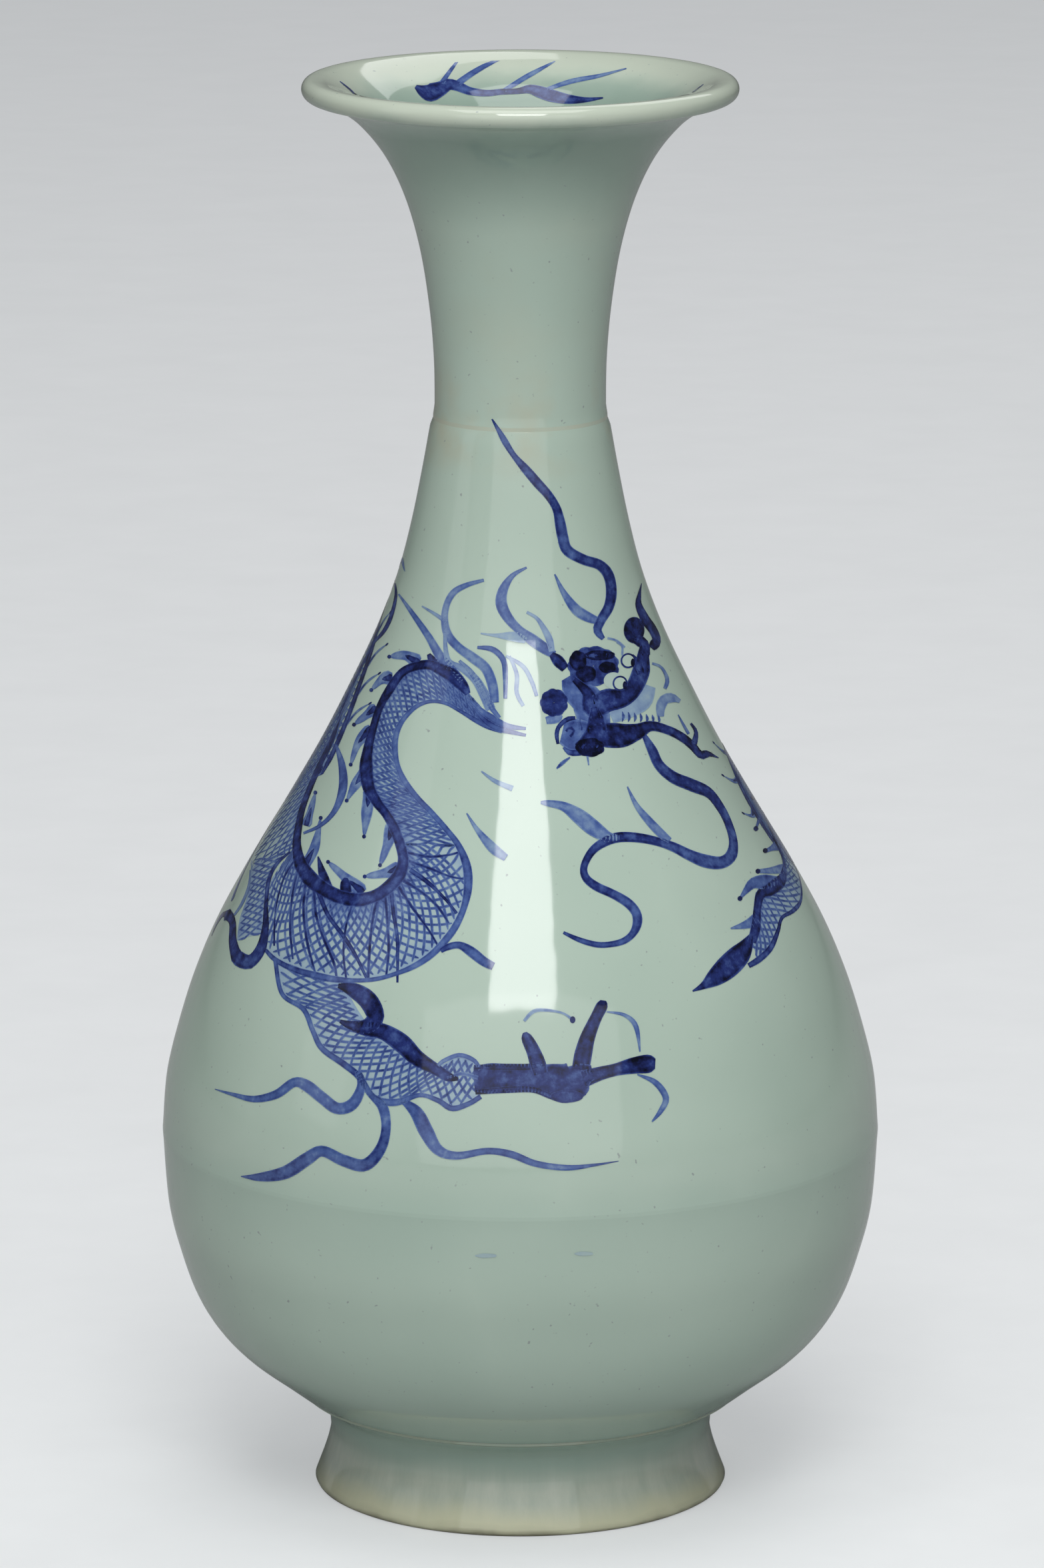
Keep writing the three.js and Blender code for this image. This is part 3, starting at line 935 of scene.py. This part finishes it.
# Round spots: x, y, half width, half height, tone, scallops of the edge and height over the glaze
PAW_SPOTS = [(851, 1646, 24, 9, 0.75, 0, 0.078), (860, 1531, 4, 5, 0.8, 0, 0.074)]
FIN_TIPS = "1131,1197 1135,1244 1149,1277 1138,1308 1111,1349"
HEAD_SPOTS = [
    (832, 1055, 19, 19, 0.8, 9, 0.072), (891, 1000, 35, 27, 0.72, 11, 0.072),
    (868, 992, 12, 14, 0.98, 5, 0.076), (880, 1012, 14, 12, 0.98, 5, 0.076),
    (900, 984, 22, 7, 0.98, 5, 0.076), (912, 1002, 12, 8, 0.98, 5, 0.076),
    (952, 946, 15, 19, 0.9, 0, 0.074),
]
JAW_SPOTS = [(886, 1122, 20, 13, 1.0, 7, 0.082), (921, 1022, 14, 12, 0.05, 0, 0.083)]
EYES = [(931, 1026), (943, 992)]
FIRST_TOOTH = (934, 1068)
TEETH = 7
FAINT_SPOTS = [(730, 1885, 15, 3, 0.14, 5, 0.074), (877, 1882, 13, 3, 0.12, 5, 0.074)]

# Sprig on the far inside of the mouth, and the tips of two leaves at its sides
MOUTH = [
    (0.82, "624,130,6 634,136,18 646,139,25 660,134,21 674,127,16 686,129,14 706,137,11 731,140,9 752,138,8 "
           "777,137,8 795,134,12 810,138,16 829,144,17 854,149,13 880,150,7 906,147,2"),
    (0.6, "663,125,7 678,104,5 691,87,2"),
    (0.6, "688,125,9 711,109,8 739,94,6 773,82,2"),
    (0.5, "757,136,6 788,117,7 808,106,6 834,92,2"),
    (0.5, "822,134,5 859,122,7 900,114,6 941,103,2"),
]
MOUTH_TIPS = [
    (0.85, "507,120,4 528,137,8 546,158,7"),
    (0.85, "1018,158,7 1038,141,8 1058,126,4"),
]


def paint_front(surface):
    brush = Painting(surface)
    spine, belly = places(SPINE)[:, :2], places(BELLY)[:, :2]
    coil_belly = np.vstack([belly[15:], places(BELLY_LEFT)])
    parts = [
        (spine[:17], belly[:16], 38, 0.09, [0.55, 0.24, 0.14, 0.14, 0.22]),
        (spine[16:27], coil_belly, 32, 0.20, [0.5, 0.2, 0.1, 0.1, 0.2]),
        (spine[26:34], FLANK_EDGE, 26, 0.12, [0.4, 0.16, 0.12, 0.12, 0.15]),
        (LIMB_OUTER, LIMB_INNER, 12, 0.2, [0.3, 0.12, 0.3]),
        (LEG_TOP, LEG_LOW, 26, 0.14, [0.25, 0.15, 0.12, 0.12, 0.2]),
        (TAIL_SPINE, TAIL_EDGE, 18, 0.14, [0.5, 0.22, 0.15, 0.2]),
    ]
    for first, second, count, reach, tones in parts:
        brush.band(first, second, tones)
        brush.scales(first, second, count, 3.6, 0.62, reach)
    for line in FAN:
        brush.trace(0.85, line, 0.055)
    brush.strokes(MANE)
    brush.trace(0.66, BELLY, 0.06)
    brush.fins(FINS, 20)
    brush.strokes(BODY_LINES)
    brush.trace(0.93, SPINE, 0.072)
    brush.strokes(LEG_LINES)
    brush.blobs(PAW_SPOTS)
    brush.strokes(TAIL_LINES)
    for x, y in places(FIN_TIPS):
        brush.blob(x, y, 3.5, 3.5, 0.9, 0)
    brush.strokes(WHISKERS)
    brush.strokes(HEAD_WASH, 0.066)
    brush.blobs(HEAD_SPOTS)
    brush.strokes(HEAD_DARK, 0.08)
    brush.blobs(JAW_SPOTS)
    for x, y in EYES:
        brush.blob(x, y, 11, 11, 0.8, 0, 0.086)
        brush.blob(x, y, 8.4, 8.4, 0.02, 0, 0.09)
        brush.blob(x + 7, y + 3, 3, 6, 0.95, 0, 0.092)
    for i in range(TEETH):
        x, y = FIRST_TOOTH[0] + 9 * i, FIRST_TOOTH[1]
        brush.stroke([(x, y + i), (x + 2, y + 8 + i), (x, y + 16)], 4, 0.7, "leaf", 0.083)
    brush.blobs(FAINT_SPOTS)
    return brush.build("painted_dragon")


# Back of the vase, seen from behind: the body goes on to the tail
BACK_BODY = (
    "1366,1254 1320,1210 1230,1130 1130,1050 1020,1000 910,1000 830,1050 785,1140 "
    "752,1240 690,1320 590,1360 480,1340 390,1270 310,1240 236,1266 190,1300 152,1342 122,1385"
)
BACK_WIDTHS = [112, 122, 126, 126, 126, 120, 112, 100, 84, 66, 60]
BACK_SCALES = 104
BACK_BELLY_LINE = "1318,1300 1385,1350 1465,1405 1540,1446"

# Centre line, widths, scales, and the paw's place, heading and size
BACK_LEGS = [
    ("760,1210 830,1246 858,1310 846,1372 880,1424 940,1450", [70, 62, 44, 36], 24, (956, 1456, 8, 44)),
    ("570,1396 540,1450 552,1510 610,1546 670,1570", [64, 56, 42, 34], 20, (686, 1576, 12, 42)),
]
BACK_FLAMES = [
    (16, 0.6, "tail", "850,1360 900,1350 950,1364 1000,1350 1056,1364 1110,1356"),
    (15, 0.55, "tail", "840,1380 858,1440 830,1490 790,1510 770,1560 720,1580"),
    (15, 0.6, "tail", "540,1500 500,1530 450,1518 410,1540 360,1530"),
    (14, 0.55, "tail", "556,1520 520,1570 536,1620 490,1660 450,1720"),
    (14, 0.5, "head", "1130,880 1080,870 1040,900 1010,950"),
    (13, 0.5, "head", "850,870 810,900 800,950 820,1000"),
    (12, 0.45, "head", "580,1120 620,1130 650,1180 660,1240"),
    (14, 0.5, "tail", "1000,1180 1060,1210 1100,1190 1160,1230 1190,1290"),
    (12, 0.5, "tail", "480,1230 440,1190 450,1140 410,1100"),
    (14, 0.55, "tail", "1330,1420 1290,1450 1240,1436 1190,1460 1140,1450"),
]


def paint_back(surface):
    brush = Painting(surface, turn=180, flat=True)
    brush.strokes(BACK_FLAMES, 0.05)
    for centre, widths, count, _ in BACK_LEGS:
        brush.body(centre, widths, count, fin=0)
    brush.body(BACK_BODY, BACK_WIDTHS, BACK_SCALES)
    brush.stroke(BACK_BELLY_LINE, 8, 0.7, "even")
    for *_, paw in BACK_LEGS:
        brush.paw(*paw)
    return brush.build("painted_dragon_back")


def paint_mouth(surface):
    pieces = []
    for name, turn, rows in (("far", 0, MOUTH + MOUTH_TIPS), ("near", 180, MOUTH)):
        brush = Painting(surface, inside=True, turn=turn)
        brush.strokes(rows)
        pieces.append(brush.build("painted_mouth_sprig_" + name))
    return pieces


# Operators

class VASE_OT_lower_body(bpy.types.Operator):
    """Adds the foot ring, the lower body and the slip between them"""

    bl_idname = "vase.lower_body"
    bl_label = "Add foot and lower body"

    def execute(self, context):
        p = props()
        half = p.slip / 2
        low, high = p.foot_joint - half, p.foot_joint + half
        top_radius = p.foot_top_radius - FOOT_STEP
        inner = p.foot_inner - FOOT_LEAN
        bevel = FOOT_BEVEL / 3
        skirt = spline([
            (p.foot_radius, FOOT_BEVEL), *FOOT_WAIST, (0.04, low - 2.8 * MM), (top_radius, low),
        ], 28)
        ring = [
            (p.foot_inner + FOOT_BEVEL, 0), (p.foot_radius - FOOT_BEVEL, 0),
            (p.foot_radius - bevel, bevel), *[tuple(q) for q in skirt],
            (inner, low), (p.foot_inner - 0.6 * MM, 8 * MM), (p.foot_inner, FOOT_BEVEL),
        ]
        obj = turned("vase_foot_ring", ring)
        finish_piece(obj, "foot_glaze", foot_material(), "foot_ring")

        slip = [
            (inner - BEAD, low - half), (inner, low - BEAD), (inner, low), (top_radius, low),
            (p.foot_top_radius + 0.1 * MM, p.foot_joint), (p.foot_top_radius, high),
            (inner - 1.5 * BEAD, high),
        ]
        obj = turned("vase_foot_slip", slip)
        finish_piece(obj, "slip", slip_material(), "foot_slip_joint")

        lower = outlines()[0]
        top = p.belly_joint - half
        floor_z = high + p.floor
        outer = part_of(lower, high + CLEAR, top - CLEAR)
        wall = part_of(inset(lower, p.wall, p.wall), floor_z + 2.6 * MM, top - CLEAR)
        edge = wall[0][0] - 6 * MM
        sag = 1.5 * MM
        bowl = [
            (0, high - sag), (inner * 0.5, high - 0.73 * sag), (inner - 4.2 * MM, high),
            (p.foot_top_radius, high), *outer, (p.belly_radius, top),
            (p.belly_radius - p.wall, top), *reversed(wall),
            (edge + 2 * MM, floor_z + 0.8 * MM), (edge - 3 * MM, floor_z), (0, floor_z),
        ]
        obj = turned("vase_lower_body", bowl)
        finish_piece(obj, "glaze", glaze_material(), "lower_body")
        return {"FINISHED"}


class VASE_OT_upper_body(bpy.types.Operator):
    """Adds the shoulder section and the slip at the belly"""

    bl_idname = "vase.upper_body"
    bl_label = "Add upper body"

    def execute(self, context):
        p = props()
        inner = p.belly_radius - p.wall
        high = p.belly_joint + p.slip / 2
        slip = slip_ring(inner, p.belly_joint, p.belly_radius, p.belly_radius)
        obj = turned("vase_belly_slip", slip)
        # The glaze hides this joint outside, so it has the walls' own colour
        finish_piece(obj, "slip", glaze_material(), "belly_slip_joint")

        upper = outlines()[1]
        top = p.neck_joint - p.slip / 2
        outer = part_of(upper, high + CLEAR, top - CLEAR)
        wall = part_of(inset(upper, p.wall, p.neck_wall), high + CLEAR, top - CLEAR)
        body = [
            (inner, high), (p.belly_radius, high), *outer, (upper[-1, 0] + HAIR, top),
            (p.neck_radius - p.neck_wall, top), *reversed(wall),
        ]
        obj = turned("vase_upper_body", body)
        finish_piece(obj, "glaze", glaze_material(), "upper_body")
        return {"FINISHED"}


class VASE_OT_neck(bpy.types.Operator):
    """Adds the neck with its trumpet mouth and the slip under it"""

    bl_idname = "vase.neck"
    bl_label = "Add neck and mouth"

    def execute(self, context):
        p = props()
        inner = p.neck_radius - p.neck_wall
        middle = (p.neck_radius + p.shoulder_radius) / 2
        high = p.neck_joint + p.slip / 2
        slip = slip_ring(inner, p.neck_joint, middle + HAIR, middle - HAIR)
        obj = turned("vase_neck_slip", slip)
        finish_piece(obj, "slip", slip_material(), "neck_slip_joint")

        neck = outlines()[2]
        outer = part_of(neck, high + CLEAR, p.height)
        rim = p.mouth_radius - p.lip_radius
        wall = part_of(inset(neck, p.neck_wall, p.neck_wall), high + CLEAR, p.height - 0.7 * MM)
        wall = [q for q in wall if q[0] < rim - 4 * MM]
        body = [
            (inner, high), (middle - HAIR, high), *outer, *[tuple(q) for q in lip_arc(-75, 90, 14)],
            (rim - 1.3 * MM, p.height - 0.1 * MM), (rim - 2.6 * MM, p.height - 0.35 * MM),
            *reversed(wall),
        ]
        obj = turned("vase_mouth_and_neck", body)
        finish_piece(obj, "glaze", glaze_material(), "mouth_and_neck")
        return {"FINISHED"}


class VASE_OT_painting(bpy.types.Operator):
    """Adds the brush painting on the body and inside the mouth"""

    bl_idname = "vase.painting"
    bl_label = "Add painting"

    def execute(self, context):
        surface = Surface()
        cobalt = cobalt_material()
        for obj in (paint_front(surface), paint_back(surface), *paint_mouth(surface)):
            finish_piece(obj, "glaze", cobalt)
        return {"FINISHED"}


# Name, place, aim, width and height, and power
LAMPS = [
    ("key_light", (0.03, -1.6, 1.65), (0, 0, 0.14), (0.84, 0.82), 19),
    ("front_light", (0.0, -2.4, 0.9), (0, 0, 0.12), (3.2, 1.7), 15),
    ("side_light", (-1.6, -0.6, 0.9), (0, 0, 0.14), (0.6, 1.2), 1),
    ("top_light", (0.0, -0.5, 1.9), (0, 0, 0.1), (1.4, 1.0), 14),
    ("back_light", (0.5, 1.5, 1.8), (0, 0, 0.14), (1.2, 1.2), 7),
]
FLOOR_SIZE = 24
FLOOR_GLOW = 0.5  # seen by the camera only


def add_lamp(name, place, aim, size, energy):
    deselect()
    bpy.ops.object.light_add(type="AREA", location=place)
    light = bpy.context.object
    light.name = name
    light.data.shape = "RECTANGLE"
    light.data.size, light.data.size_y = size
    light.data.energy = energy
    light.rotation_euler = (Vector(aim) - Vector(place)).to_track_quat("-Z", "Y").to_euler()


def add_floor():
    """Plain pale table that runs far back; its paleness behind the vase is for camera rays alone."""
    deselect()
    bpy.ops.mesh.primitive_plane_add(size=FLOOR_SIZE, location=(0, 0, 0))
    floor = bpy.context.object
    floor.name = "stage_floor"
    mat, tree, bsdf = new_material("stage_floor")
    grain = noise(tree, 30, 3.0)
    tint = ramp(tree, grain.outputs["Fac"], [(0.3, (0.46, 0.47, 0.47)), (0.7, (0.49, 0.50, 0.50))])
    tree.links.new(tint.outputs["Color"], bsdf.inputs["Base Color"])
    bsdf.inputs["Roughness"].default_value = 0.8
    seen = tree.nodes.new("ShaderNodeLightPath")
    glow = tree.nodes.new("ShaderNodeMath")
    glow.operation = "MULTIPLY"
    tree.links.new(seen.outputs["Is Camera Ray"], glow.inputs[0])
    glow.inputs[1].default_value = FLOOR_GLOW
    bsdf.inputs["Emission Color"].default_value = (0.80, 0.82, 0.84, 1)
    tree.links.new(glow.outputs["Value"], bsdf.inputs["Emission Strength"])
    floor.data.materials.append(mat)


class VASE_OT_stage(bpy.types.Operator):
    """Adds the floor, the lamps, the world and the camera"""

    bl_idname = "vase.stage"
    bl_label = "Add stage"

    def execute(self, context):
        p = props()
        add_floor()
        for row in LAMPS:
            add_lamp(*row)

        world = context.scene.world or bpy.data.worlds.new("World")
        context.scene.world = world
        world.use_nodes = True
        background = world.node_tree.nodes["Background"]
        background.inputs["Color"].default_value = (0.72, 0.75, 0.78, 1)
        background.inputs["Strength"].default_value = 0.12

        deselect()
        bpy.ops.object.camera_add(location=(p.camera_side, -p.camera_distance, p.camera_height))
        camera = context.object
        camera.name = "photo_camera"
        camera.rotation_euler = (math.radians(90) - p.camera_pitch, 0, 0)
        camera.data.sensor_fit = "AUTO"
        camera.data.sensor_width = SENSOR
        camera.data.lens = p.lens
        camera.data.clip_end = 30
        context.scene.camera = camera
        context.scene.view_settings.view_transform = "Standard"
        return {"FINISHED"}


class VASE_PT_panel(bpy.types.Panel):
    """Sizes and buttons of the vase"""

    bl_idname = "VASE_PT_panel"
    bl_label = "Porcelain vase"
    bl_space_type = "VIEW_3D"
    bl_region_type = "UI"
    bl_category = "Vase"

    def draw(self, context):
        for name in VaseProps.__annotations__:
            self.layout.prop(context.scene.vase_props, name)
        for operator in OPERATORS:
            self.layout.operator(operator.bl_idname)


OPERATORS = (
    VASE_OT_lower_body,
    VASE_OT_upper_body,
    VASE_OT_neck,
    VASE_OT_painting,
    VASE_OT_stage,
)
CLASSES = (VaseProps, *OPERATORS, VASE_PT_panel)


def register():
    for cls in CLASSES:
        bpy.utils.register_class(cls)
    bpy.types.Scene.vase_props = bpy.props.PointerProperty(type=VaseProps)


def unregister():
    del bpy.types.Scene.vase_props
    for cls in reversed(CLASSES):
        bpy.utils.unregister_class(cls)


def main():
    register()
    bpy.ops.vase.lower_body()
    bpy.ops.vase.upper_body()
    bpy.ops.vase.neck()
    bpy.ops.vase.painting()
    bpy.ops.vase.stage()
    deselect()


if __name__ == "__main__":
    main()
